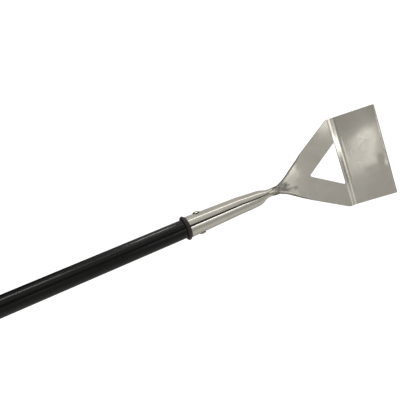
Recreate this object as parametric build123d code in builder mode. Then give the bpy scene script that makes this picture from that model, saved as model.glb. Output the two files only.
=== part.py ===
from build123d import *

from math import asin, cos, degrees, radians, sin
import os

# Long-handled algae scraper: a pressed stainless head riveted to a plastic-covered tube handle.
#
# X runs along the handle towards the blade, Y across the blade, and Z up, out of the side that
# the blade bends towards. The origin is the centre of the hanging hole, on the handle's axis.
# All lengths are in millimetres.

# Driving dimensions

# Handle: a steel tube in a plastic skin, which stops at the collar
handle_diameter = 25.0
sleeve_wall = 0.7
tube_wall = 1.0
tube_start = 18.0
tube_length = 878.5

# Hanging cap at the rear end
cap_radius = 12.3
cap_tab_thickness = 11.0
cap_tab_end = 8.0
cap_slope_end = 14.5
cap_spigot_length = 30.0
cap_spigot_wall = 2.4
cap_core_start = 15.5
cap_tab_rounding = 1.5
hang_hole_radius = 4.0
hang_hole_chamfer = 0.8

# Plug that joins the tube to the tapered socket
flange_thickness = 1.2
flange_radius = 14.1
spigot_length = 42.0
nose_length = 70.0
plug_bore_radius = 8.2
plug_end_chamfer = 1.0
groove_count = 4
groove_pitch = 8.0
groove_width = 3.0
groove_depth = 0.6

# Rubber collar at the mouth of the socket: one rounded bead
collar_width = 4.3
collar_rear_radius = 13.9
collar_bead_radius = 16.5
collar_front_radius = 14.8
collar_peak_share = 0.55

# Head, rolled and pressed from one sheet; distances along it are from the socket's mouth
sheet = 1.5
socket_mouth_diameter = 28.5
socket_end_diameter = 24.2
socket_length = 79.5
seam_mouth_gap = 2.4
seam_end_gap = 1.5
seam_turn = 11.0
plate_height = 2.3
fan_apex = 128.7
fan_start = 191.5
bend_start = 252.0
bend_radius = 30.0
bend_angle = 31.8
blade_length = 55.2
blade_half_width = 68.0
blade_corner_radius = 1.5
edge_bevel_length = 1.6
edge_bevel_depth = 0.9
window_tip = 198.0
window_front = 256.0
window_half_width = 33.3
window_corner_radius = 2.0

# Blind rivets, one on each side of the socket
rivet_station = 17.0
rivet_shank_radius = 2.4
rivet_head_radius = 4.75
rivet_head_height = 1.7
rivet_head_rim = 0.45
dome_shoulder_across = 0.72
dome_shoulder_drop = 0.22
rivet_bulb_radius = 3.4
rivet_bulb_length = 3.2
rivet_bulb_taper = 0.9
mandrel_radius = 1.35
mandrel_recess = 0.35
mandrel_head_radius = 2.2
mandrel_head_length = 1.8
mandrel_round_across = 0.75
mandrel_round_rise = 0.3
clearance = 0.05

# Worked out from the driving dimensions

tube_end = tube_start + tube_length
mouth = tube_end + flange_thickness
handle_radius = handle_diameter / 2
tube_radius = handle_radius - sleeve_wall
tube_bore_radius = tube_radius - tube_wall
rivet_x = mouth + rivet_station
half_sheet = sheet / 2
fan_slope = blade_half_width / (bend_start - fan_apex)


def socket_radius(distance):
    """Outer radius of the tapered socket."""
    taper = (socket_mouth_diameter - socket_end_diameter) / 2 / socket_length
    return socket_mouth_diameter / 2 - taper * distance


def fan_half_width(distance):
    """Half the width of the triangular plate."""
    return fan_slope * (distance - fan_apex)


# Head: sections of the rolled sheet
#
# The sheet's mid-line at each station is level in the middle and turns up at both sides along
# an arc of an ellipse. A station is (distance, half width, shift across, floor height,
# lip height, wrap, turn, level share). Wrap is the angle that each arc turns through: close to
# 180 the section is a closed tube, and under 90 a trough. Level share is the part of the half
# width that is level, which is nought in the tube. Past the neck the edges stay curled up, and
# the curl dies away towards the plate.


def socket_station(distance, gap):
    """Station of the round socket, whose lips leave a seam of the given gap."""
    radius = socket_radius(distance) - half_sheet
    wrap = 180 - degrees(asin(gap / 2 / radius))
    return distance, radius, 0, -radius, -radius * cos(radians(wrap)), wrap, seam_turn, 0


mouth_station = socket_station(0, seam_mouth_gap)
shoulder_station = socket_station(socket_length, seam_end_gap)
key_stations = [
    shoulder_station,
    (89.5, 10.9, -0.5, -10.9, 10.9, 176.4, 11.0, 0.0),
    (99.5, 10.4, -0.8, -10.2, 10.4, 176.6, 11.0, 0.0),
    (108.5, 9.8, -0.9, -9.4, 9.8, 177.2, 10.0, 0.0),
    (113.5, 8.8, -0.6, -8.3, 8.9, 178.2, 9.0, 0.0),
    (118.5, 6.9, -0.1, -6.4, 7.4, 178.0, 8.0, 0.0),
    (123.5, 5.35, 0.1, -4.7, 6.1, 174.0, 5.0, 0.0),
    (129.0, 4.9, 0.0, -3.6, 5.2, 150.0, 2.0, 0.0),
    (135.0, 5.4, 0.0, -3.0, 4.2, 110.0, 0.0, 0.1),
    (140.5, 5.4, 0.0, -2.4, 4.6, 92.0, 0.0, 0.3),
    (146.5, 7.6, 0.0, -1.5, 4.8, 88.0, 0.0, 0.5),
    (153.5, 10.7, 0.0, -0.1, 4.4, 86.0, 0.0, 0.62),
    (163.5, 17.0, 0.0, 1.2, 4.5, 84.0, 0.0, 0.78),
    (175.5, 24.6, 0.0, 2.0, 4.2, 75.0, 0.0, 0.88),
    (184.5, 29.9, 0.0, 2.25, 3.3, 50.0, 0.0, 0.92),
    (fan_start, fan_half_width(fan_start), 0.0, plate_height, plate_height, 30.0, 0.0, 0.94),
]
section_points = 41
section_spacing = 4.0
level_points_share = 0.6


def smooth_slopes(places, values):
    """Slope at each place that gives a smooth curve with no overshoot between the values."""
    rises = [(b - a) / (q - p) for p, q, a, b in zip(places, places[1:], values, values[1:])]
    middle = [2 * a * b / (a + b) if a * b > 0 else 0 for a, b in zip(rises, rises[1:])]
    return [rises[0], *middle, rises[-1]]


def between(share, gap, start, end, start_slope, end_slope):
    """Cubic between two values with the slopes given at its ends."""
    left = 1 - share
    curve = left**2 * (start + share * (2 * start + gap * start_slope))
    return curve + share**2 * (end + left * (2 * end - gap * end_slope))


def spaced_stations(stations, spacing):
    """The stations given, with more of them blended in between, about a spacing apart."""
    columns = list(zip(*stations))
    slopes = [smooth_slopes(columns[0], column) for column in columns]
    spaced = [stations[0]]
    for i in range(len(stations) - 1):
        gap = columns[0][i + 1] - columns[0][i]
        steps = round(gap / spacing) + 1
        for step in range(1, steps + 1):
            row = [
                between(step / steps, gap, values[i], values[i + 1], slope[i], slope[i + 1])
                for values, slope in zip(columns, slopes)
            ]
            spaced.append(tuple(row))
    return spaced


def sheet_section(station):
    """Cross-section of the sheet at one station."""
    distance, half_width, shift, floor, lip, wrap, turn, level_share = station
    wrap = radians(wrap)
    level = half_width * level_share
    across = (half_width - level) / sin(min(wrap, radians(90)))
    upward = (lip - floor) / (1 - cos(wrap))
    arc_start = level_share * level_points_share
    outer = []
    inner = []
    for i in range(section_points):
        share = 2 * i / (section_points - 1) - 1
        side = 1 if share > 0 else -1
        along_level = min(abs(share) / arc_start, 1) if arc_start else 1
        angle = wrap * max(abs(share) - arc_start, 0) / (1 - arc_start)
        y = level * along_level + across * sin(angle)
        middle = Vector(side * y, floor + upward - upward * cos(angle))
        along = Vector(across * cos(angle), side * upward * sin(angle)).normalized()
        outward = Vector(along.Y, -along.X) * half_sheet
        outer.append((middle + outward).rotate(Axis.Z, -turn) + Vector(shift, 0))
        inner.append((middle - outward).rotate(Axis.Z, -turn) + Vector(shift, 0))
    with BuildSketch(Plane.YZ.offset(mouth + distance)) as section:
        with BuildLine():
            outer_curve = Spline(*outer)
            inner_curve = Spline(*inner)
            Line(outer_curve @ 0, inner_curve @ 0)
            Line(outer_curve @ 1, inner_curve @ 1)
        make_face()
    return section.sketch


# Head: side profile of the plate, the bend and the blade


def on_bend(angle, offset):
    """Point of the bend at an angle past its start, offset upwards from the mid-line."""
    radius = bend_radius - offset
    turned = radians(angle)
    x = mouth + bend_start + radius * sin(turned)
    z = plate_height + bend_radius - radius * cos(turned)
    return Vector(x, z)


def on_blade(length, offset):
    """Point of the straight blade at a length past the bend, offset from the mid-line."""
    turned = radians(bend_angle)
    return on_bend(bend_angle, offset) + Vector(length * cos(turned), length * sin(turned))


rear = mouth + fan_start
front = on_blade(blade_length, -half_sheet).X
shoulder = mouth + bend_start
rear_half_width = fan_half_width(fan_start)
outline_low = -10.0
outline_height = 60.0

with BuildPart() as scraper_head:
    with BuildSketch(Plane.XZ):
        with BuildLine():
            Polyline(
                on_bend(0, half_sheet),
                (rear, plate_height + half_sheet),
                (rear, plate_height - half_sheet),
                on_bend(0, -half_sheet),
            )
            ThreePointArc(
                on_bend(0, -half_sheet),
                on_bend(bend_angle / 2, -half_sheet),
                on_bend(bend_angle, -half_sheet),
            )
            Polyline(
                on_bend(bend_angle, -half_sheet),
                on_blade(blade_length, -half_sheet),
                on_blade(blade_length, half_sheet - edge_bevel_depth),
                on_blade(blade_length - edge_bevel_length, half_sheet),
                on_bend(bend_angle, half_sheet),
            )
            ThreePointArc(
                on_bend(bend_angle, half_sheet),
                on_bend(bend_angle / 2, half_sheet),
                on_bend(0, half_sheet),
            )
        make_face()
    extrude(amount=blade_half_width, both=True)
    # The outline seen from above trims the plate to a triangle and opens the window.
    with BuildSketch(Plane.XY.offset(outline_low)):
        with BuildLine():
            Polyline(
                (rear, -rear_half_width),
                (shoulder, -blade_half_width),
                (front, -blade_half_width),
                (front, blade_half_width),
                (shoulder, blade_half_width),
                (rear, rear_half_width),
                close=True,
            )
        outline = make_face()
        fillet(outline.vertices().group_by(Axis.X)[-1], radius=blade_corner_radius)
        with BuildLine(mode=Mode.PRIVATE) as window_line:
            Polyline(
                (mouth + window_tip, 0),
                (mouth + window_front, window_half_width),
                (mouth + window_front, -window_half_width),
                close=True,
            )
        with BuildSketch(mode=Mode.PRIVATE) as window:
            add(window_line.line)
            make_face()
            fillet(window.vertices(), radius=window_corner_radius)
        add(window.sketch, mode=Mode.SUBTRACT)
    extrude(amount=outline_height, mode=Mode.INTERSECT)
    loft(sections=[sheet_section(mouth_station), sheet_section(shoulder_station)], ruled=True)
    neck_stations = spaced_stations(key_stations, section_spacing)
    loft(sections=[sheet_section(station) for station in neck_stations], ruled=True)
    with Locations((rivet_x, 0, 0)):
        Cylinder(
            rivet_shank_radius + clearance,
            2 * socket_mouth_diameter,
            rotation=(90, 0, 0),
            mode=Mode.SUBTRACT,
        )

# Plug: a ribbed spigot in the tube, a thin flange, and a tapered nose in the socket

spigot_start = tube_end - spigot_length
spigot_radius = tube_bore_radius - clearance
nose_end = mouth + nose_length
nose_rear_radius = socket_radius(0) - sheet - clearance
nose_front_radius = socket_radius(nose_length) - sheet - clearance

with BuildPart() as socket_plug:
    with BuildSketch(Plane.XY):
        with BuildLine():
            Polyline(
                (spigot_start, plug_bore_radius),
                (spigot_start, spigot_radius - plug_end_chamfer),
                (spigot_start + plug_end_chamfer, spigot_radius),
                (tube_end, spigot_radius),
                (tube_end, flange_radius),
                (mouth, flange_radius),
                (mouth, nose_rear_radius),
                (nose_end - plug_end_chamfer, nose_front_radius),
                (nose_end, nose_front_radius - plug_end_chamfer),
                (nose_end, plug_bore_radius),
                close=True,
            )
        make_face()
    revolve(axis=Axis.X)
    groove_x = spigot_start + groove_pitch
    groove_middle = spigot_radius - groove_depth / 2
    with BuildSketch(Plane.XY):
        for i in range(groove_count):
            with Locations((groove_x + i * groove_pitch, groove_middle)):
                Rectangle(groove_width, groove_depth)
    revolve(axis=Axis.X, mode=Mode.SUBTRACT)
    with Locations((rivet_x, 0, 0)):
        Cylinder(
            rivet_shank_radius + clearance,
            2 * socket_mouth_diameter,
            rotation=(90, 0, 0),
            mode=Mode.SUBTRACT,
        )

# Collar: it grips the bare end of the tube, between the skin and the plug's flange

collar_start = tube_end - collar_width
collar_peak = collar_start + collar_peak_share * collar_width

with BuildPart() as collar_ring:
    with BuildSketch(Plane.XY):
        with BuildLine():
            Polyline(
                (tube_end, collar_front_radius),
                (tube_end, tube_radius),
                (collar_start, tube_radius),
                (collar_start, collar_rear_radius),
            )
            ThreePointArc(
                (collar_start, collar_rear_radius),
                (collar_peak, collar_bead_radius),
                (tube_end, collar_front_radius),
            )
        make_face()
    revolve(axis=Axis.X)

# Handle: the tube and its skin

with BuildPart() as handle_tube:
    with BuildSketch(Plane.YZ.offset(tube_start)):
        Circle(tube_radius)
        Circle(tube_bore_radius, mode=Mode.SUBTRACT)
    extrude(amount=tube_length)

with BuildPart() as handle_sleeve:
    with BuildSketch(Plane.YZ.offset(tube_start)):
        Circle(handle_radius)
        Circle(tube_radius, mode=Mode.SUBTRACT)
    extrude(amount=collar_start - tube_start)

# End cap: a round-ended tab with the hanging hole, and a hollow spigot in the tube

cap_spigot_radius = tube_bore_radius - clearance
tab_half = cap_tab_thickness / 2

with BuildPart() as end_cap:
    with BuildSketch(Plane.YZ):
        Circle(cap_radius)
    extrude(amount=tube_start)
    Sphere(cap_radius)
    with BuildSketch(Plane.XZ):
        with BuildLine():
            Polyline(
                (-cap_radius, tab_half),
                (cap_tab_end, tab_half),
                (cap_slope_end, cap_radius),
                (-cap_radius, cap_radius),
                close=True,
            )
        tab_cut = make_face()
        mirror(tab_cut, about=Plane.XZ)
    extrude(amount=cap_radius, both=True, mode=Mode.SUBTRACT)
    rim = end_cap.faces().sort_by(Axis.X)[-1].edges()
    tab_edges = end_cap.edges() - rim
    tab_edges = tab_edges.filter_by(lambda edge: edge.center().X < cap_tab_end)
    fillet(tab_edges, radius=cap_tab_rounding)
    with BuildSketch(Plane.YZ.offset(tube_start)):
        Circle(cap_spigot_radius)
    extrude(amount=cap_spigot_length)
    with BuildSketch(Plane.YZ.offset(cap_core_start)):
        Circle(cap_spigot_radius - cap_spigot_wall)
    extrude(amount=cap_spigot_length + tube_start, mode=Mode.SUBTRACT)
    Hole(hang_hole_radius)
    hole_rims = end_cap.edges().filter_by(GeomType.CIRCLE)
    hole_rims = hole_rims.filter_by(lambda rim: abs(rim.radius - hang_hole_radius) < clearance)
    chamfer(hole_rims, length=hang_hole_chamfer)

# Blind rivets: a hollow body with a domed head, and the mandrel stub left inside it

head_seat = socket_radius(rivet_station - rivet_head_radius)
head_top = head_seat + rivet_head_height
shank_bore_radius = mandrel_radius + clearance
bulb_seat = (plug_bore_radius**2 - rivet_bulb_radius**2) ** 0.5 - clearance
bulb_end = bulb_seat - rivet_bulb_length
mandrel_end = bulb_end - mandrel_head_length


def closed_by_arc(points, arc_middle, side):
    """Half-section through points (radius, height), closed by an arc from the last to the first.

    Side is 1 for the upper rivet and -1 for the lower one.
    """
    placed = [(rivet_x + radius, side * height) for radius, height in [*points, arc_middle]]
    middle = placed.pop()
    with BuildSketch(Plane.XY) as profile:
        with BuildLine():
            Polyline(*placed)
            ThreePointArc(placed[-1], middle, placed[0])
        make_face()
    return profile.sketch


def rivet_body_profile(side):
    """Half-section of the rivet's hollow body."""
    points = [
        (shank_bore_radius, head_top),
        (shank_bore_radius, bulb_end),
        (rivet_bulb_radius - rivet_bulb_taper, bulb_end),
        (rivet_bulb_radius, bulb_end + rivet_bulb_taper),
        (rivet_bulb_radius, bulb_seat),
        (rivet_shank_radius, bulb_seat),
        (rivet_shank_radius, head_seat),
        (rivet_head_radius, head_seat),
        (rivet_head_radius, head_seat + rivet_head_rim),
    ]
    dome_shoulder = (
        rivet_head_radius * dome_shoulder_across,
        head_top - rivet_head_height * dome_shoulder_drop,
    )
    return closed_by_arc(points, dome_shoulder, side)


def mandrel_profile(side):
    """Half-section of the mandrel stub, whose rounded head bears on the end of the body."""
    points = [
        (mandrel_head_radius, bulb_end - clearance),
        (mandrel_radius, bulb_end - clearance),
        (mandrel_radius, head_top - mandrel_recess),
        (0, head_top - mandrel_recess),
        (0, mandrel_end),
    ]
    round_middle = (
        mandrel_head_radius * mandrel_round_across,
        mandrel_end + mandrel_head_length * mandrel_round_rise,
    )
    return closed_by_arc(points, round_middle, side)


rivet_axis = Axis((rivet_x, 0, 0), (0, 1, 0))
rivet_pieces = {}
for side_name, side in (("upper", 1), ("lower", -1)):
    with BuildPart() as rivet:
        revolve(rivet_body_profile(side), axis=rivet_axis)
    rivet_pieces[f"{side_name}_rivet"] = rivet
    with BuildPart() as mandrel:
        revolve(mandrel_profile(side), axis=rivet_axis)
    rivet_pieces[f"{side_name}_rivet_mandrel"] = mandrel

# One file for each piece

pieces = {
    "scraper_head": scraper_head,
    "socket_plug": socket_plug,
    "collar_ring": collar_ring,
    "handle_tube": handle_tube,
    "handle_sleeve": handle_sleeve,
    "end_cap": end_cap,
    **rivet_pieces,
}
os.makedirs("parts", exist_ok=True)
for name, piece in pieces.items():
    piece.part.label = name
    export_step(piece.part, f"parts/{name}.step")
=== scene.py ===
from math import asin, atan2, cos, degrees, exp, pi, radians, sin, sqrt

import bpy
import bmesh
from mathutils import Matrix, Quaternion, Vector


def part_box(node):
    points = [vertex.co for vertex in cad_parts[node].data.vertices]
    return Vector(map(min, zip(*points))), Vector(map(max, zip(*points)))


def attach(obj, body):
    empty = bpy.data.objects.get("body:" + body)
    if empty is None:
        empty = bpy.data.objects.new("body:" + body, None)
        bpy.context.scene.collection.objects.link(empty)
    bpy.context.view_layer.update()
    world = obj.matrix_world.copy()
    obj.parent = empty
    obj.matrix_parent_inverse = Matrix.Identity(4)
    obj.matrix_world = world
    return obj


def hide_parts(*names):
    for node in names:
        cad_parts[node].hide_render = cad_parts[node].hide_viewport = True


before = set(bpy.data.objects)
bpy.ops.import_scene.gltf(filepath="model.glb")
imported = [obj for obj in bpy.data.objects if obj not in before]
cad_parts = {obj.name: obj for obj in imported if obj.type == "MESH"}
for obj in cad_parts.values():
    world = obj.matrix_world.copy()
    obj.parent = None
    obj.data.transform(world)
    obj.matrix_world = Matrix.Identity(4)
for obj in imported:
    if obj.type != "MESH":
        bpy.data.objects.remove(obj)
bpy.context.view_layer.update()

# The looks of a long-handled algae scraper, in the CAD model's frame: X along the handle towards
# the blade, Y across the blade, Z up. The object's sizes are in millimetres, and MM turns them
# into metres. Lights, floor and camera are in metres.

MM = 0.001
BODY = "root"

# ---------------------------------------------------------------------------------------------
# Places and sizes from the frame

head_low, head_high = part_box("scraper_head")
sleeve_low, sleeve_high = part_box("handle_sleeve")
collar_low, collar_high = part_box("collar_ring")
rivet_low, rivet_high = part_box("upper_rivet")

MOUTH = head_low.x / MM
HANDLE_RADIUS = sleeve_high.y / MM
SLEEVE_WALL = 0.7
TUBE_RADIUS = HANDLE_RADIUS - SLEEVE_WALL
BLADE_HALF_WIDTH = head_high.y / MM

# ---------------------------------------------------------------------------------------------
# Dimensions of the head, as in the CAD model; distances are from the socket's mouth

SHEET = 1.5
SOCKET_MOUTH_DIAMETER = 28.5
SOCKET_END_DIAMETER = 24.2
SOCKET_LENGTH = 79.5
SEAM_MOUTH_GAP = 2.4
SEAM_END_GAP = 1.5
SEAM_TURN = 11.0
PLATE_HEIGHT = 2.3
FAN_APEX = 128.7
FAN_START = 191.5
BEND_START = 252.0
BEND_RADIUS = 30.0
BEND_ANGLE = radians(31.8)
BLADE_LENGTH = 55.2
BLADE_CORNER_RADIUS = 1.5
EDGE_BEVEL_LENGTH = 1.6
EDGE_BEVEL_DEPTH = 0.9
EDGE_ROUNDING = 0.22
WINDOW_TIP = 198.0
WINDOW_FRONT = 256.0
WINDOW_HALF_WIDTH = 33.3
WINDOW_CORNER_RADIUS = 2.0
RIVET_STATION = 17.0
RIVET_HEAD_HEIGHT = 1.7
RIVET_HEAD_RADIUS = 4.75
RIVET_SHANK_RADIUS = 2.4
RIVET_TAIL_RADIUS = 3.4
RIVET_BORE_RADIUS = 1.4

FAN_SLOPE = BLADE_HALF_WIDTH / (BEND_START - FAN_APEX)


def fan_half_width(distance):
    """Half the width of the triangular plate."""
    return FAN_SLOPE * (distance - FAN_APEX)


def socket_radius(distance):
    """Outer radius of the tapered socket."""
    taper = (SOCKET_MOUTH_DIAMETER - SOCKET_END_DIAMETER) / 2 / SOCKET_LENGTH
    return SOCKET_MOUTH_DIAMETER / 2 - taper * distance


# ---------------------------------------------------------------------------------------------
# Mesh helpers


def link(name, mesh, slot, *nodes):
    """Put a mesh in the scene as a piece that rides on the body and stands for CAD nodes."""
    piece = bpy.data.objects.new(name, mesh)
    bpy.context.scene.collection.objects.link(piece)
    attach(piece, BODY)
    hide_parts(*nodes)
    return piece


def mesh_from(name, points, faces, sharp_angle=35.0, edge_rough_shade=(), crease_shade=()):
    """Smooth-shaded mesh from points in millimetres, with edges over an angle left sharp.

    The per-face numbers tell how rough the sheet's sheared and ground edges are and how much
    painted shade darkens them; the per-point numbers tell how much painted shade darkens the
    creases near the neck.
    tells how scuffed the surface is at each point.
    """
    mesh = bpy.data.meshes.new(name)
    mesh.from_pydata([Vector(p) * MM for p in points], [], faces)
    if edge_rough_shade:
        mesh.attributes.new("cut_edge_rough_shade", "FLOAT", "FACE").data.foreach_set("value", edge_rough_shade)
        mesh.attributes.new("painted_crease_shade", "FLOAT", "POINT").data.foreach_set("value", crease_shade)
    work = bmesh.new()
    work.from_mesh(mesh)
    bmesh.ops.remove_doubles(work, verts=work.verts, dist=1e-7)
    bmesh.ops.recalc_face_normals(work, faces=work.faces)
    work.to_mesh(mesh)
    work.free()
    mesh.shade_smooth()
    mesh.set_sharp_from_angle(angle=radians(sharp_angle))
    return mesh


def add_bevel(piece, width, segments, angle):
    """Round the piece's edges that turn by more than an angle in degrees."""
    bevel = piece.modifiers.new("edge_rounding", "BEVEL")
    bevel.width = width * MM
    bevel.segments = segments
    bevel.limit_method = "ANGLE"
    bevel.angle_limit = radians(angle)
    bevel.harden_normals = True


def rounded(corners, steps=6):
    """Outline through corners (along, radius, fillet), each fillet drawn as an arc."""
    outline = []
    count = len(corners)
    for i in range(count):
        here = Vector(corners[i][:2])
        size = corners[i][2]
        if size <= 0:
            outline.append(here)
            continue
        before = (Vector(corners[i - 1][:2]) - here).normalized()
        after = (Vector(corners[(i + 1) % count][:2]) - here).normalized()
        half = before.angle(after) / 2
        start = here + before * (size / abs(sin(half)) * cos(half))
        centre = here + (before + after).normalized() * (size / sin(half))
        end = here + after * (size / abs(sin(half)) * cos(half))
        first = atan2(start.y - centre.y, start.x - centre.x)
        sweep = atan2(end.y - centre.y, end.x - centre.x) - first
        sweep = (sweep + pi) % (2 * pi) - pi
        for k in range(steps + 1):
            angle = first + sweep * k / steps
            outline.append(centre + Vector((cos(angle), sin(angle))) * size)
    return outline


def lathe(outline, place, segments):
    """Points and faces of a closed outline (along, radius) turned about an axis.

    place(along, radius, angle) gives the point in space.
    """
    points = []
    for along, radius in outline:
        for j in range(segments):
            points.append(place(along, radius, 2 * pi * j / segments))
    faces = []
    rows = len(outline)
    for i in range(rows):
        for j in range(segments):
            a = i * segments + j
            b = i * segments + (j + 1) % segments
            c = (i + 1) % rows * segments + (j + 1) % segments
            d = (i + 1) % rows * segments + j
            faces.append((a, b, c, d))
    return points, faces


def about_handle(along, radius, angle):
    """Point at a radius and angle about the handle's axis."""
    return along, radius * cos(angle), radius * sin(angle)


# ---------------------------------------------------------------------------------------------
# Head: one sheet, rolled, pinched, fanned out and bent


def socket_station(distance, gap):
    """Section of the round socket, whose lips leave a seam of the given gap."""
    radius = socket_radius(distance) - SHEET / 2
    wrap = 180 - degrees(asin(gap / 2 / radius))
    return distance, radius, 0, -radius, -radius * cos(radians(wrap)), wrap, SEAM_TURN, 0


# Sections of the rolled sheet, as in the CAD model: distance, half width, shift across, floor
# height, lip height, wrap and turn in degrees, share of the half width that is level
KEY_STATIONS = [
    socket_station(SOCKET_LENGTH, SEAM_END_GAP),
    (89.5, 10.9, -0.5, -10.9, 10.9, 176.4, 11.0, 0.0),
    (99.5, 10.4, -0.8, -10.2, 10.4, 176.6, 11.0, 0.0),
    (108.5, 9.8, -0.9, -9.4, 9.8, 177.2, 10.0, 0.0),
    (113.5, 8.8, -0.6, -8.3, 8.9, 178.2, 9.0, 0.0),
    (118.5, 6.9, -0.1, -6.4, 7.4, 178.0, 8.0, 0.0),
    (123.5, 5.35, 0.1, -4.7, 6.1, 174.0, 5.0, 0.0),
    (129.0, 4.9, 0.0, -3.6, 5.2, 150.0, 2.0, 0.0),
    (135.0, 5.4, 0.0, -3.0, 4.2, 110.0, 0.0, 0.1),
    (140.5, 5.4, 0.0, -2.4, 4.6, 92.0, 0.0, 0.3),
    (146.5, 7.6, 0.0, -1.5, 4.8, 88.0, 0.0, 0.5),
    (153.5, 10.7, 0.0, -0.1, 4.4, 86.0, 0.0, 0.62),
    (163.5, 17.0, 0.0, 1.2, 4.5, 84.0, 0.0, 0.78),
    (175.5, 24.6, 0.0, 2.0, 4.2, 75.0, 0.0, 0.88),
    (184.5, 29.9, 0.0, 2.25, 3.3, 50.0, 0.0, 0.92),
    (FAN_START, fan_half_width(FAN_START), 0.0, PLATE_HEIGHT, PLATE_HEIGHT, 30.0, 0.0, 0.94),
]
LEVEL_POINTS_SHARE = 0.6


def smooth_slopes(places, values):
    """Slope at each place that gives a smooth curve with no overshoot between the values."""
    rises = [(b - a) / (q - p) for p, q, a, b in zip(places, places[1:], values, values[1:])]
    middle = [2 * a * b / (a + b) if a * b > 0 else 0 for a, b in zip(rises, rises[1:])]
    return [rises[0], *middle, rises[-1]]


COLUMNS = list(zip(*KEY_STATIONS))
SLOPES = [smooth_slopes(COLUMNS[0], column) for column in COLUMNS]


def station_at(distance):
    """Shape of the sheet's section at a distance between the mouth and the flat plate."""
    if distance <= SOCKET_LENGTH:
        share = distance / SOCKET_LENGTH
        gap = SEAM_MOUTH_GAP + (SEAM_END_GAP - SEAM_MOUTH_GAP) * share
        return socket_station(distance, gap)
    places = COLUMNS[0]
    i = max(k for k in range(len(places) - 1) if places[k] <= distance)
    gap = places[i + 1] - places[i]
    share = (distance - places[i]) / gap
    left = 1 - share
    row = []
    for values, slope in zip(COLUMNS, SLOPES):
        curve = left**2 * (values[i] + share * (2 * values[i] + gap * slope[i]))
        curve += share**2 * (values[i + 1] + left * (2 * values[i + 1] - gap * slope[i + 1]))
        row.append(curve)
    return tuple(row)


def across_at(share, half_width, wrap, level_share):
    """Distance from the middle and the arc's angle, at a share of the way to the lip."""
    level = half_width * level_share
    arc_start = level_share * LEVEL_POINTS_SHARE
    along_level = min(share / arc_start, 1) if arc_start else 1
    angle = wrap * max(share - arc_start, 0) / (1 - arc_start)
    across = (half_width - level) / sin(min(wrap, pi / 2))
    return level * along_level + across * sin(angle), across, angle


def rolled_point(distance, side, share):
    """Mid-line point and outward normal of the rolled sheet; share runs from middle to lip."""
    _, half_width, shift, floor, lip, wrap, turn, level_share = station_at(distance)
    wrap = radians(wrap)
    turn = radians(turn)
    upward = (lip - floor) / (1 - cos(wrap))
    y, across, angle = across_at(share, half_width, wrap, level_share)
    z = floor + upward - upward * cos(angle)
    normal = Vector((side * upward * sin(angle), -across * cos(angle))).normalized()
    turned = Matrix(((cos(turn), sin(turn)), (-sin(turn), cos(turn))))
    y, z = turned @ Vector((side * y, z))
    normal = turned @ normal
    return Vector((MOUTH + distance, y + shift, z)), Vector((0, normal.x, normal.y))


def plate_point(length, y):
    """Mid-surface point and outward (downward) normal past the fan's start.

    Length is measured along the sheet from the mouth: flat, then round the bend, then straight.
    """
    past = length - BEND_START
    if past <= 0:
        return Vector((MOUTH + length, y, PLATE_HEIGHT)), Vector((0, 0, -1))
    turned = min(past / BEND_RADIUS, BEND_ANGLE)
    straight = max(past - BEND_RADIUS * BEND_ANGLE, 0)
    x = MOUTH + BEND_START + BEND_RADIUS * sin(turned) + straight * cos(turned)
    z = PLATE_HEIGHT + BEND_RADIUS * (1 - cos(turned)) + straight * sin(turned)
    return Vector((x, y, z)), Vector((sin(turned), 0, -cos(turned)))


def window_half_width(length):
    """Half the width of the triangular window, with its corners rounded."""
    slope = WINDOW_HALF_WIDTH / (WINDOW_FRONT - WINDOW_TIP)
    lean = atan2(slope, 1)
    tip_centre = WINDOW_TIP + WINDOW_CORNER_RADIUS / sin(lean)
    tip_tangent = tip_centre - WINDOW_CORNER_RADIUS * sin(lean)
    if length < tip_tangent:
        inside = WINDOW_CORNER_RADIUS**2 - (length - tip_centre) ** 2
        return sqrt(max(inside, 0))
    corner_x = WINDOW_FRONT - WINDOW_CORNER_RADIUS
    corner_y = slope * (corner_x - WINDOW_TIP) - WINDOW_CORNER_RADIUS / cos(lean)
    if length > corner_x - WINDOW_CORNER_RADIUS * sin(lean):
        inside = WINDOW_CORNER_RADIUS**2 - (length - corner_x) ** 2
        return corner_y + sqrt(max(inside, 0))
    return slope * (length - WINDOW_TIP)


def spread(start, end, spacing):
    """Even steps from start to end, without the end itself."""
    steps = max(1, round((end - start) / spacing))
    return [start + (end - start) * i / steps for i in range(steps)]


WINDOW_REAR = WINDOW_TIP + WINDOW_CORNER_RADIUS * (
    1 / sin(atan2(WINDOW_HALF_WIDTH, WINDOW_FRONT - WINDOW_TIP)) - 1
)
BEND_END = BEND_START + BEND_RADIUS * BEND_ANGLE
BLADE_END = BEND_END + BLADE_LENGTH
GROUND_START = BLADE_END - EDGE_BEVEL_LENGTH
NECK_START = 107.5
NECK_END = 171.5
# How far the closer rows reach: from the window's rear corner, its front edge, the blade's edge
CORNER_ROWS_REAR = 1.0
CORNER_ROWS_FRONT = 3.0
BLADE_EDGE_ROWS = 4.0
# Columns from the centre line or window to the outer edge, and across ahead of the window
HALF_COLUMNS = 48
PATCH_COLUMNS = 44


def head_rows():
    """Distances of the mesh rows along the sheet, closer where its shape changes."""
    corner_rear = WINDOW_REAR + CORNER_ROWS_REAR
    corner_front = WINDOW_FRONT - CORNER_ROWS_FRONT
    rows = spread(0, SOCKET_LENGTH, 2.5)
    rows += spread(SOCKET_LENGTH, NECK_START, 1.5)
    rows += spread(NECK_START, NECK_END, 0.7)
    rows += spread(NECK_END, FAN_START, 1.0)
    rows += spread(FAN_START, WINDOW_REAR, 1.5)
    rows += spread(WINDOW_REAR, corner_rear, 0.1)
    rows += spread(corner_rear, corner_front, 2.5)
    rows += spread(corner_front, WINDOW_FRONT, 0.2)
    rows += spread(WINDOW_FRONT, BEND_END, 0.8)
    rows += spread(BEND_END, BLADE_END - BLADE_EDGE_ROWS, 2.5)
    rows += spread(BLADE_END - BLADE_EDGE_ROWS, GROUND_START, 0.8)
    rows += [GROUND_START, GROUND_START + EDGE_BEVEL_LENGTH / 2, BLADE_END]
    return rows


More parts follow.
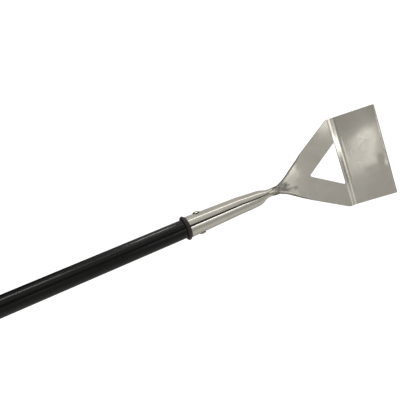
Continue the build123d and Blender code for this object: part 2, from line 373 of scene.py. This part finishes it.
def outer_half_width(length):
    """Half the width of the plate or blade, with the blade's front corners rounded."""
    width = fan_half_width(length) if length < BEND_START else BLADE_HALF_WIDTH
    into_corner = length - (BLADE_END - BLADE_CORNER_RADIUS)
    if into_corner > 0:
        width -= BLADE_CORNER_RADIUS - sqrt(BLADE_CORNER_RADIUS**2 - into_corner**2)
    return width


# Shallow dents of the blade: length, place across, reach along, reach across, depth
DENTS = [
    (317.5, -15.0, 2.4, 5.0, 0.30),
    (301.5, 22.0, 14.0, 9.0, 0.12),
]
# How many reaches away, squared, a dent still counts
DENT_LIMIT = 12

# Painted shade in the creases near the neck: length, place across, reach along, reach
# across, and how dark
CREASE_SHADE_SPOTS = [
    (144.5, -3.7, 1.6, 0.9, 0.75),
    (156.5, 1.6, 1.8, 1.5, 0.75),
    (159.5, 0.2, 2.2, 1.0, 0.55),
    (160.5, -5.8, 4.6, 1.3, 0.45),
    (170.5, -7.6, 2.2, 1.6, 0.60),
]

# The sheet is even up to the first distance and fully wavy after the reach past it
WAVES_START = 152
WAVES_REACH = 40


def reaches_away(spot, length, y):
    """Squared distance from a dent's or shaded spot's middle, counted in its reaches."""
    place, across, reach, width, _ = spot
    return ((length - place) / reach) ** 2 + ((y - across) / width) ** 2


def painted_crease_shade(length, y):
    """How dark the painted crease shade makes the sheet, from 0 to 1."""
    return max(shade_spot[-1] * exp(-reaches_away(shade_spot, length, y) / 2) for shade_spot in CREASE_SHADE_SPOTS)


def waviness(length, y):
    """Height of the pressed sheet's slight unevenness and dents, against its outward normal."""
    wave = 0.10 * sin(length / 15.0 + y / 60.0 + 0.8) * cos(y / 19.0 + 0.4)
    wave += 0.05 * sin(length / 9.5 + y / 31.0)
    wave += 0.04 * cos(y / 9.5 - length / 30.0)
    height = wave * min(max((length - WAVES_START) / WAVES_REACH, 0), 1)
    for dent in DENTS:
        away = reaches_away(dent, length, y)
        if away < DENT_LIMIT:
            height -= dent[-1] * exp(-away / 2)
    return height


def sheet_point(length, share, side, inner):
    """Mid-surface point and normal on the column at a share of the half-width.

    side is -1 or 1; share runs from the centre line, or the window's edge, to the outer edge.
    """
    if length < FAN_START:
        return rolled_point(length, side, share)
    _, half_width, _, _, _, wrap, _, level_share = KEY_STATIONS[-1]
    at_start = across_at(share, half_width, radians(wrap), level_share)[0] / half_width
    y = inner + (outer_half_width(length) - inner) * at_start
    return plate_point(length, side * y)


def build_head():
    """Points, outward normals, distances along the sheet and faces of the sheet's middle."""
    points, normals, lengths = [], [], []
    rows = head_rows()
    grid = []

    def keep(point, normal, length):
        points.append(point - normal * waviness(length, point.y))
        normals.append(normal)
        lengths.append(length)
        return len(points) - 1

    for length in rows:
        in_window = length >= WINDOW_REAR
        inner = window_half_width(min(length, WINDOW_FRONT)) if in_window else 0
        halves = []
        for side in (-1, 1):
            half = []
            for j in range(HALF_COLUMNS + 1):
                if j == 0 and side == 1 and inner == 0:
                    half.append(halves[0][0])
                    continue
                half.append(keep(*sheet_point(length, j / HALF_COLUMNS, side, inner), length))
            halves.append(half)
        patch = []
        if length >= WINDOW_FRONT:
            patch.append(halves[0][0])
            for j in range(1, PATCH_COLUMNS):
                y = inner * (2 * j / PATCH_COLUMNS - 1)
                patch.append(keep(*plate_point(length, y), length))
            patch.append(halves[1][0])
        grid.append((halves, patch))

    faces = []
    for (halves, patch), (next_halves, next_patch) in zip(grid, grid[1:]):
        strips = [(halves[0], next_halves[0]), (next_halves[1], halves[1])]
        if patch:
            strips.append((next_patch, patch))
        for near, far in strips:
            for j in range(len(near) - 1):
                faces.append((near[j], near[j + 1], far[j + 1], far[j]))
    return points, normals, lengths, faces


def boundary_edges(faces):
    """Edges that only one face uses, in that face's direction."""
    seen = {}
    for face in faces:
        for a, b in zip(face, face[1:] + face[:1]):
            if (b, a) in seen:
                del seen[(b, a)]
            else:
                seen[(a, b)] = True
    return list(seen)


# How rough the sheared edges and the ground front edge are, and how much painted shade darkens
# them, from 0 to 1
SHEARED_ROUGH_SHADE = 1.0
GROUND_ROUGH_SHADE = 0.55


def make_head():
    """The sheet: both skins, the sheared edges between them and the ground front edge."""
    points, normals, lengths, faces = build_head()
    count = len(points)
    lower = [p + n * (SHEET / 2) for p, n in zip(points, normals)]
    upper = []
    for p, n, length in zip(points, normals, lengths):
        ground = max(length - GROUND_START, 0) / EDGE_BEVEL_LENGTH
        upper.append(p - n * (SHEET / 2 - EDGE_BEVEL_DEPTH * ground))
    solid_faces = [tuple(face) for face in faces]
    solid_faces += [tuple(i + count for i in reversed(face)) for face in faces]
    edge_rough_shade = [0.0] * len(faces)
    for face in faces:
        on_ground_edge = all(lengths[i] >= GROUND_START for i in face)
        edge_rough_shade.append(GROUND_ROUGH_SHADE if on_ground_edge else 0.0)
    for a, b in boundary_edges(faces):
        solid_faces.append((b, a, a + count, b + count))
        edge_rough_shade.append(SHEARED_ROUGH_SHADE)
    # Painted shade: the dark spots near the neck stand for the shade of its creases
    crease_shade = [painted_crease_shade(length, p.y) for p, length in zip(points, lengths)] * 2
    mesh = mesh_from("scraper_head_sheet", lower + upper, solid_faces, 30, edge_rough_shade, crease_shade)
    piece = link("scraper_head_sheet", mesh, "stainless_steel", "scraper_head")
    add_bevel(piece, EDGE_ROUNDING, segments=2, angle=50)
    return piece


head = make_head()

# ---------------------------------------------------------------------------------------------
# Collar, sleeve and rivets; an outline's corners are (along, radius, fillet)


def make_collar():
    """Rubber collar: one rounded bead with a fine ridge, pressed against the plug's flange."""
    start = collar_low.x / MM
    width = collar_high.x / MM - start
    outline = rounded(
        [
            (start, TUBE_RADIUS, 0.0),
            (start, 13.9, 0.25),
            (start + 0.12 * width, 15.2, 0.7),
            (start + 0.34 * width, 16.3, 0.7),
            (start + 0.52 * width, 16.0, 0.3),
            (start + 0.60 * width, 16.45, 0.35),
            (start + 0.84 * width, 15.9, 0.8),
            (start + width, 14.8, 0.3),
            (start + width, TUBE_RADIUS, 0.0),
        ],
        steps=8,
    )
    points, faces = lathe(outline, about_handle, segments=192)
    mesh = mesh_from("collar_bead", points, faces)
    return link("collar_bead", mesh, "collar_rubber", "collar_ring")


collar = make_collar()


FIRST_RING = 8
RING_SPACING = 40
SLEEVE_END_ROUNDING = 0.3


def make_sleeve():
    """Plastic skin of the handle, with its ends eased and rings of points along it."""
    start = sleeve_low.x / MM
    end = sleeve_high.x / MM
    rings = 1 + int((end - start - FIRST_RING) / RING_SPACING)
    corners = [(start, TUBE_RADIUS, 0.0), (start, HANDLE_RADIUS, SLEEVE_END_ROUNDING)]
    corners += [(start + FIRST_RING + RING_SPACING * i, HANDLE_RADIUS, 0.0) for i in range(rings)]
    corners += [(end, HANDLE_RADIUS, SLEEVE_END_ROUNDING), (end, TUBE_RADIUS, 0.0)]
    points, faces = lathe(rounded(corners), about_handle, segments=160)
    mesh = mesh_from("handle_skin", points, faces)
    return link("handle_skin", mesh, "sleeve_plastic", "handle_sleeve")


sleeve = make_sleeve()


def make_rivet(name, side):
    """Set blind rivet: domed head with the mandrel's dimple, shank and bulged tail."""
    seat = rivet_high.y / MM - RIVET_HEAD_HEIGHT
    tail = rivet_low.y / MM
    x = MOUTH + RIVET_STATION
    outline = rounded(
        [
            (tail, RIVET_BORE_RADIUS, 0.1),
            (tail, 2.5, 0.3),
            (tail + 0.9, RIVET_TAIL_RADIUS, 0.4),
            (tail + 3.1, RIVET_TAIL_RADIUS, 0.3),
            (tail + 3.2, RIVET_SHANK_RADIUS, 0.0),
            (seat, RIVET_SHANK_RADIUS, 0.0),
            (seat, RIVET_HEAD_RADIUS, 0.12),
            (seat + 0.5, RIVET_HEAD_RADIUS, 0.25),
            (seat + 1.05, 4.05, 1.0),
            (seat + 1.5, 2.9, 1.6),
            (seat + 1.68, 1.75, 0.6),
            (seat + 1.55, RIVET_BORE_RADIUS, 0.1),
        ]
    )

    def about_rivet(along, radius, angle):
        return x + radius * cos(angle), side * along, radius * sin(angle)

    points, faces = lathe(outline, about_rivet, segments=96)
    mesh = mesh_from(name, points, faces)
    return link(name + "_body", mesh, "rivet_metal", name)


rivets = [make_rivet("upper_rivet", 1), make_rivet("lower_rivet", -1)]

# ---------------------------------------------------------------------------------------------
# Materials


class Graph:
    """A material's node tree, with short ways to add and join nodes."""

    def __init__(self, name):
        self.material = bpy.data.materials.new(name)
        self.material.use_nodes = True
        self.nodes = self.material.node_tree.nodes
        self.links = self.material.node_tree.links
        self.shader = self.nodes["Principled BSDF"]
        self.place = self.nodes.new("ShaderNodeTexCoord").outputs["Object"]

    def set(self, **values):
        for name, value in values.items():
            self.shader.inputs[name.replace("_", " ")].default_value = value

    def join(self, source, target):
        self.links.new(source, target)

    def stretch(self, scale, turn=(0, 0, 0)):
        mapping = self.nodes.new("ShaderNodeMapping")
        mapping.inputs["Scale"].default_value = scale
        mapping.inputs["Rotation"].default_value = turn
        self.join(self.place, mapping.inputs["Vector"])
        return mapping.outputs["Vector"]

    def noise(self, scale, detail, rough, vector=None, distort=0.0):
        node = self.nodes.new("ShaderNodeTexNoise")
        node.inputs["Scale"].default_value = scale
        node.inputs["Detail"].default_value = detail
        node.inputs["Roughness"].default_value = rough
        node.inputs["Distortion"].default_value = distort
        self.join(vector or self.place, node.inputs["Vector"])
        return node.outputs["Fac"]

    def ramp(self, value, *stops):
        node = self.nodes.new("ShaderNodeValToRGB")
        ramp = node.color_ramp
        while len(ramp.elements) < len(stops):
            ramp.elements.new(0.5)
        for element, (place, colour) in zip(ramp.elements, stops):
            element.position = place
            element.color = (*colour, 1) if isinstance(colour, tuple) else (colour,) * 3 + (1,)
        self.join(value, node.inputs["Fac"])
        return node.outputs["Color"]

    def range(self, value, low, high, start, end):
        node = self.nodes.new("ShaderNodeMapRange")
        node.inputs["From Min"].default_value = start
        node.inputs["From Max"].default_value = end
        node.inputs["To Min"].default_value = low
        node.inputs["To Max"].default_value = high
        self.join(value, node.inputs["Value"])
        return node.outputs["Result"]

    def math(self, operation, a, b):
        node = self.nodes.new("ShaderNodeMath")
        node.operation = operation
        for socket, value in zip(node.inputs, (a, b)):
            if isinstance(value, (int, float)):
                socket.default_value = value
            else:
                self.join(value, socket)
        return node.outputs["Value"]

    def mix(self, share, base, colour):
        """Blend by a share from a colour of the tree to a plain colour."""
        node = self.nodes.new("ShaderNodeMix")
        node.data_type = "RGBA"
        sockets = {s.identifier: s for s in node.inputs}
        self.join(share, sockets["Factor_Float"])
        self.join(base, sockets["A_Color"])
        sockets["B_Color"].default_value = (*colour, 1)
        return {s.identifier: s for s in node.outputs}["Result_Color"]

    def attribute(self, name):
        node = self.nodes.new("ShaderNodeAttribute")
        node.attribute_name = name
        return node.outputs["Fac"]

    def bump(self, height, distance, strength, under=None):
        node = self.nodes.new("ShaderNodeBump")
        node.inputs["Distance"].default_value = distance
        node.inputs["Strength"].default_value = strength
        self.join(height, node.inputs["Height"])
        if under is not None:
            self.join(under, node.inputs["Normal"])
        return node.outputs["Normal"]


# Painted shade: this tint darkens the sheared and ground edges, on top of their real roughness
CUT_EDGE_SHADE_TINT = (0.17, 0.165, 0.15)
CUT_EDGE_ROUGHNESS = 0.4
# Painted shade: the tint of the dark creases near the neck
CREASE_SHADE_TINT = (0.10, 0.10, 0.095)
ROLLING_LINE_TINT = (0.45, 0.44, 0.40)


def steel(name, dark, light, rough_low, rough_high, brushing=(25, 900, 900)):
    """Bare steel: fine rolling lines, cloudy patches and scratches.

    Cut edges are rougher and carry painted shade, and the neck's creases carry painted shade,
    where the mesh tells of them.
    """
    g = Graph(name)
    g.set(Metallic=1.0)
    cloud = g.noise(28.0, 3.0, 0.55, distort=0.6)
    lines = g.noise(1.0, 5.0, 0.6, vector=g.stretch(brushing))
    scratches = g.noise(1.0, 2.0, 0.5, vector=g.stretch((60, 2600, 2600), (0, 0, 0.16)))
    tint = g.ramp(cloud, (0.3, dark), (0.7, light))
    tint = g.mix(g.range(lines, 0.0, 0.14, 0.35, 0.7), tint, ROLLING_LINE_TINT)
    # Painted shade on the cut edges, which the same mask also roughens
    cut_rough_shade = g.attribute("cut_edge_rough_shade")
    tint = g.mix(cut_rough_shade, tint, CUT_EDGE_SHADE_TINT)
    # Painted shade in the neck's creases
    tint = g.mix(g.attribute("painted_crease_shade"), tint, CREASE_SHADE_TINT)
    g.join(tint, g.shader.inputs["Base Color"])
    cloud_rough = g.range(cloud, rough_low, rough_high, 0.3, 0.7)
    line_rough = g.range(lines, -0.03, 0.05, 0.3, 0.7)
    rough = g.math("ADD", cloud_rough, line_rough)
    rough = g.math("ADD", rough, g.math("MULTIPLY", cut_rough_shade, CUT_EDGE_ROUGHNESS))
    g.join(rough, g.shader.inputs["Roughness"])
    fine = g.bump(lines, 0.000004, 0.3)
    fine = g.bump(g.ramp(scratches, (0.62, 0.0), (0.68, 1.0)), 0.000004, 0.25, under=fine)
    g.join(fine, g.shader.inputs["Normal"])
    return g.material


def rubber(name):
    """Moulded brown-black rubber with a fine grain and a little bloom."""
    g = Graph(name)
    patches = g.noise(220.0, 4.0, 0.6)
    grain = g.noise(4200.0, 2.0, 0.5)
    tint = g.ramp(patches, (0.35, (0.020, 0.015, 0.012)), (0.7, (0.042, 0.033, 0.027)))
    g.join(tint, g.shader.inputs["Base Color"])
    g.join(g.range(patches, 0.42, 0.6, 0.3, 0.7), g.shader.inputs["Roughness"])
    g.join(g.bump(grain, 0.00003, 0.5), g.shader.inputs["Normal"])
    return g.material


def glossy_plastic(name):
    """Extruded black plastic skin: draw lines along it, fine scuffs and uneven gloss."""
    g = Graph(name)
    along = g.noise(1.0, 3.0, 0.5, vector=g.stretch((3, 700, 700)))
    smudge = g.noise(45.0, 4.0, 0.6)
    scuffs = g.noise(1.0, 3.0, 0.6, vector=g.stretch((400, 4000, 4000), (0.0, 0.0, 0.4)))
    tint = g.ramp(smudge, (0.3, (0.0006, 0.0006, 0.0005)), (0.75, (0.0020, 0.0019, 0.0016)))
    g.join(tint, g.shader.inputs["Base Color"])
    smudge_rough = g.range(smudge, 0.13, 0.22, 0.3, 0.7)
    scuff_rough = g.range(scuffs, 0.0, 0.12, 0.6, 0.75)
    g.join(g.math("ADD", smudge_rough, scuff_rough), g.shader.inputs["Roughness"])
    normal = g.bump(along, 0.00004, 0.3)
    g.join(g.bump(smudge, 0.0001, 0.15, under=normal), g.shader.inputs["Normal"])
    g.set(IOR=1.48, Specular_IOR_Level=0.34)
    return g.material


def matte_plastic(name, dark, light):
    """Moulded black plastic with spark-eroded grain and faint flow marks."""
    g = Graph(name)
    flow = g.noise(60.0, 3.0, 0.6, distort=1.5)
    grain = g.noise(2600.0, 3.0, 0.6)
    g.join(g.ramp(flow, (0.3, dark), (0.7, light)), g.shader.inputs["Base Color"])
    g.join(g.range(flow, 0.45, 0.58, 0.3, 0.7), g.shader.inputs["Roughness"])
    g.join(g.bump(grain, 0.00004, 0.5), g.shader.inputs["Normal"])
    return g.material


def dress(piece, material):
    """Give a piece made here its material."""
    piece.data.materials.clear()
    piece.data.materials.append(material)


def dress_node(name, material):
    """Give a carried-over CAD node its material."""
    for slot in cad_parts[name].material_slots:
        slot.material = material


sheet_steel = steel("sheet_steel", (0.63, 0.60, 0.53), (0.71, 0.68, 0.61), 0.10, 0.16)
even_grain = (900, 900, 900)
rivet_steel = steel("rivet_steel", (0.66, 0.64, 0.58), (0.76, 0.74, 0.67), 0.24, 0.34, even_grain)
drawn_steel = steel("drawn_steel", (0.42, 0.42, 0.42), (0.52, 0.52, 0.53), 0.3, 0.42)
collar_rubber = rubber("collar_rubber")
skin_plastic = glossy_plastic("skin_plastic")
plug_plastic = matte_plastic("plug_plastic", (0.008, 0.008, 0.008), (0.016, 0.016, 0.016))
cap_plastic = matte_plastic("cap_plastic", (0.012, 0.012, 0.012), (0.022, 0.022, 0.022))

dress(head, sheet_steel)
dress(collar, collar_rubber)
dress(sleeve, skin_plastic)
for rivet in rivets:
    dress(rivet, rivet_steel)
dress_node("socket_plug", plug_plastic)
dress_node("handle_tube", drawn_steel)
dress_node("end_cap", cap_plastic)
dress_node("upper_rivet_mandrel", rivet_steel)
dress_node("lower_rivet_mandrel", rivet_steel)

# ---------------------------------------------------------------------------------------------
# Floor, light and camera

FLOOR_DROP = 0.45
FLOOR_RADIUS = 30
FLOOR_GLOW = 0.7


def make_floor():
    """Plain pale disc that lights itself a little and stays out of reflections."""
    under_mouth = (MOUTH * MM, 0, -FLOOR_DROP)
    bpy.ops.mesh.primitive_circle_add(
        vertices=96, radius=FLOOR_RADIUS, fill_type="NGON", location=under_mouth
    )
    floor = bpy.context.object
    floor.name = "studio_floor"
    material = bpy.data.materials.new("studio_floor")
    material.use_nodes = True
    shader = material.node_tree.nodes["Principled BSDF"]
    shader.inputs["Base Color"].default_value = (0.9, 0.9, 0.9, 1)
    shader.inputs["Roughness"].default_value = 0.9
    shader.inputs["Specular IOR Level"].default_value = 0.0
    shader.inputs["Emission Color"].default_value = (1, 1, 1, 1)
    shader.inputs["Emission Strength"].default_value = FLOOR_GLOW
    floor.data.materials.append(material)
    floor.visible_glossy = False


make_floor()

ROOM_TINT = (1, 0.99, 0.965)
BACKDROP = (0.97, 0.97, 0.97)
# Brightness of the room, by the angle in degrees about the handle's axis from straight up
ROOM_LEVELS = [
    (-180, 0.58),
    (-117, 0.46),
    (-80, 0.64),
    (-35, 0.42),
    (-2, 0.50),
    (9, 0.20),
    (20, 0.20),
    (31, 0.54),
    (75, 0.66),
    (110, 0.53),
    (180, 0.58),
]
# Darker places of the room: direction, cosines at which it begins and is full, brightness left
ROOM_DARKS = [
    ((-0.75, 0.30, -0.59), 0.45, 0.68, 0.14),
    ((0.15, -0.185, 0.97), 0.990, 0.9955, 0.30),
    ((-0.20, 0.02, 0.98), 0.992, 0.997, 0.45),
    ((-0.45, 0.08, 0.88), 0.945, 0.985, 0.80),
]


def make_world():
    """Soft room with darker places for reflections, and a plain pale backdrop for the camera."""
    world = bpy.data.worlds.new("studio")
    bpy.context.scene.world = world
    world.use_nodes = True
    nodes, links = world.node_tree.nodes, world.node_tree.links

    def math(operation, *inputs):
        node = nodes.new("ShaderNodeMath")
        node.operation = operation
        for socket, value in zip(node.inputs, inputs):
            if isinstance(value, (int, float)):
                socket.default_value = value
            else:
                links.new(value, socket)
        return node.outputs["Value"]

    direction = nodes.new("ShaderNodeTexCoord").outputs["Generated"]
    parts = nodes.new("ShaderNodeSeparateXYZ")
    links.new(direction, parts.inputs["Vector"])
    angle = math("ARCTAN2", parts.outputs["Y"], parts.outputs["Z"])
    turn = math("MULTIPLY_ADD", angle, 1 / (2 * pi), 0.5)
    room = nodes.new("ShaderNodeValToRGB")
    room.color_ramp.interpolation = "EASE"
    while len(room.color_ramp.elements) < len(ROOM_LEVELS):
        room.color_ramp.elements.new(0.5)
    for element, (degree, level) in zip(room.color_ramp.elements, ROOM_LEVELS):
        element.position = degree / 360 + 0.5
        element.color = (*(level * part for part in ROOM_TINT), 1)
    links.new(turn, room.inputs["Fac"])
    left = 1.0
    for towards, begins, full, share in ROOM_DARKS:
        facing = nodes.new("ShaderNodeVectorMath")
        facing.operation = "DOT_PRODUCT"
        links.new(direction, facing.inputs[0])
        facing.inputs[1].default_value = Vector(towards).normalized()
        dark = nodes.new("ShaderNodeMapRange")
        dark.interpolation_type = "SMOOTHSTEP"
        dark.inputs["From Min"].default_value = begins
        dark.inputs["From Max"].default_value = full
        dark.inputs["To Min"].default_value = 1.0
        dark.inputs["To Max"].default_value = share
        links.new(facing.outputs["Value"], dark.inputs["Value"])
        left = math("MULTIPLY", dark.outputs["Result"], left)
    background = nodes["Background"]
    links.new(room.outputs["Color"], background.inputs["Color"])
    links.new(left, background.inputs["Strength"])
    backdrop = nodes.new("ShaderNodeBackground")
    backdrop.inputs["Color"].default_value = (*BACKDROP, 1)
    seen = nodes.new("ShaderNodeMixShader")
    links.new(nodes.new("ShaderNodeLightPath").outputs["Is Camera Ray"], seen.inputs[0])
    links.new(background.outputs["Background"], seen.inputs[1])
    links.new(backdrop.outputs["Background"], seen.inputs[2])
    links.new(seen.outputs["Shader"], nodes["World Output"].inputs["Surface"])


make_world()

# Soft lights round the head, which aim at the start of the bend: name, direction, width, height,
# radiance. Directions and sizes are chosen for what the sheet reflects.
HEAD_LIGHT_DISTANCE = 1.6
HEAD_LIGHTS = [
    ("overhead", (0.20, -0.090, 0.97), 0.80, 0.10, 2.6),
    ("overhead_side", (0.36, 0.03, 0.93), 0.34, 0.24, 0.95),
    ("overhead_low", (0.15, -0.262, 0.955), 0.75, 0.16, 0.45),
    ("overhead_tail", (-0.04, -0.155, 0.985), 0.10, 0.07, 1.7),
    ("front_corner", (0.66, 0.06, 0.76), 0.35, 0.30, 0.85),
    ("rear_front", (-0.335, -0.105, 0.936), 0.11, 0.08, 1.15),
    ("rear_middle", (-0.365, -0.16, 0.917), 0.16, 0.06, 0.9),
    ("side_strip", (0.30, 0.92, 0.24), 2.6, 0.20, 1.45),
]
# Over this share of Y, a light's width lies along X
SIDEWAYS = 0.7
# Strip lights close beside the handle: name, direction, width, height, radiance, aim along X
STRIP_DISTANCE = 0.5
STRIPS = [
    ("handle_strip_front", (0, 0.985, -0.17), 0.13, 0.060, 13.0, 0.955),
    ("handle_strip_rear", (0, 0.98, 0.20), 0.22, 0.035, 9.0, 0.62),
]


def softbox(name, direction, distance, width, height, radiance, aim):
    """Rectangular light that faces a place on the X axis; width runs nearest to that axis."""
    data = bpy.data.lights.new(name, "AREA")
    data.shape = "RECTANGLE"
    data.size = width
    data.size_y = height
    data.energy = radiance * pi * width * height
    light = bpy.data.objects.new(name, data)
    bpy.context.scene.collection.objects.link(light)
    back = Vector(direction).normalized()
    light.location = Vector((aim, 0, 0)) + back * distance
    light.visible_camera = False
    side = Vector((0, 1, 0)).cross(back).normalized()
    if abs(back.y) > SIDEWAYS:
        side = Vector((1, 0, 0))
    up = back.cross(side).normalized()
    side = up.cross(back).normalized()
    light.rotation_mode = "QUATERNION"
    light.rotation_quaternion = Matrix((side, up, back)).transposed().to_quaternion()


bend_x = (MOUTH + BEND_START) * MM
for name, direction, width, height, radiance in HEAD_LIGHTS:
    softbox(name, direction, HEAD_LIGHT_DISTANCE, width, height, radiance, bend_x)
for name, direction, width, height, radiance, aim in STRIPS:
    softbox(name, direction, STRIP_DISTANCE, width, height, radiance, aim)

# Lens in millimetres, angles in degrees, distance in metres
LENS = 36.23
CAMERA_AZIMUTH = 244.45
CAMERA_ELEVATION = 68.34
CAMERA_ROLL = 94.76
CAMERA_DISTANCE = 0.5534
CAMERA_TARGET = Vector((MOUTH + 35.1, 13.45, 0)) * MM


def make_camera():
    """Camera that looks at the target from a distance, by azimuth, elevation and roll."""
    data = bpy.data.cameras.new("camera")
    data.lens = LENS
    data.sensor_width = 36
    data.clip_start = 0.01
    data.clip_end = 50
    camera = bpy.data.objects.new("camera", data)
    bpy.context.scene.collection.objects.link(camera)
    a, e = radians(CAMERA_AZIMUTH), radians(CAMERA_ELEVATION)
    back = Vector((sin(a) * cos(e), -cos(a) * cos(e), sin(e)))
    right = Vector((cos(a), sin(a), 0))
    up = back.cross(right)
    upright = Matrix((right, up, back)).transposed().to_quaternion()
    camera.rotation_mode = "QUATERNION"
    camera.rotation_quaternion = upright @ Quaternion((0, 0, 1), radians(CAMERA_ROLL))
    camera.location = CAMERA_TARGET + back * CAMERA_DISTANCE
    bpy.context.scene.camera = camera


make_camera()
bpy.context.scene.view_settings.view_transform = "Standard"
